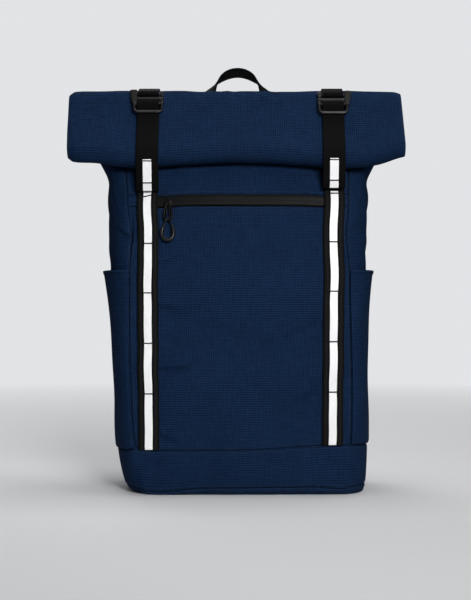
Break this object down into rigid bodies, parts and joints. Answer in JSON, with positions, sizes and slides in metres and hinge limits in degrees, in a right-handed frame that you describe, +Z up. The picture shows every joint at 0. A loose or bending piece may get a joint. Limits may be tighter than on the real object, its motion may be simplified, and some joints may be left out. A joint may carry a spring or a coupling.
{
  "type": "roll-top backpack",
  "caption": "Roll-top canvas backpack standing on its base, with webbing closure straps on metal hooks, a zipped front pocket, side pockets and padded shoulder straps.",
  "frame": {"origin": "on the ground under the middle of the bag's box", "axes": "+Z up, the front faces -Y, +X to the right of someone who looks at the front"},
  "size_m": [0.3864, 0.1798, 0.4978],
  "materials": {
    "canvas": "matte coated weave",
    "webbing": "woven",
    "zip_tape": "laminated satin",
    "reflective": "satin tape",
    "gunmetal": "satin",
    "plastic": "satin"
  },
  "bodies": {
    "root": {"base_floor": "canvas", "base_band": "canvas", "front_panel": "canvas", "front_yoke": "canvas", "zip_end_left": "canvas", "zip_end_right": "canvas", "side_panel_left": "canvas", "side_panel_right": "canvas", "side_pocket_left": "canvas", "side_pocket_right": "canvas", "back_panel": "canvas", "back_yoke": "canvas", "roll_top": "canvas", "shoulder_strap_left": "canvas", "shoulder_strap_right": "canvas", "zip_tape": "zip_tape", "zip_slider": "gunmetal", "zip_pull_ring": "gunmetal", "g_hook_left": "gunmetal", "g_hook_right": "gunmetal", "zip_pull_loop": "plastic", "daisy_webbing_left": "webbing", "closure_strap_left": "webbing", "hook_loop_left": "webbing", "strap_webbing_left": "webbing", "reflective_tape_left": "reflective", "closure_patch_left": "reflective", "strap_adjuster_left": "plastic", "daisy_webbing_right": "webbing", "closure_strap_right": "webbing", "hook_loop_right": "webbing", "strap_webbing_right": "webbing", "reflective_tape_right": "reflective", "closure_patch_right": "reflective", "strap_adjuster_right": "plastic", "haul_handle": "webbing"}
  },
  "joints": []
}
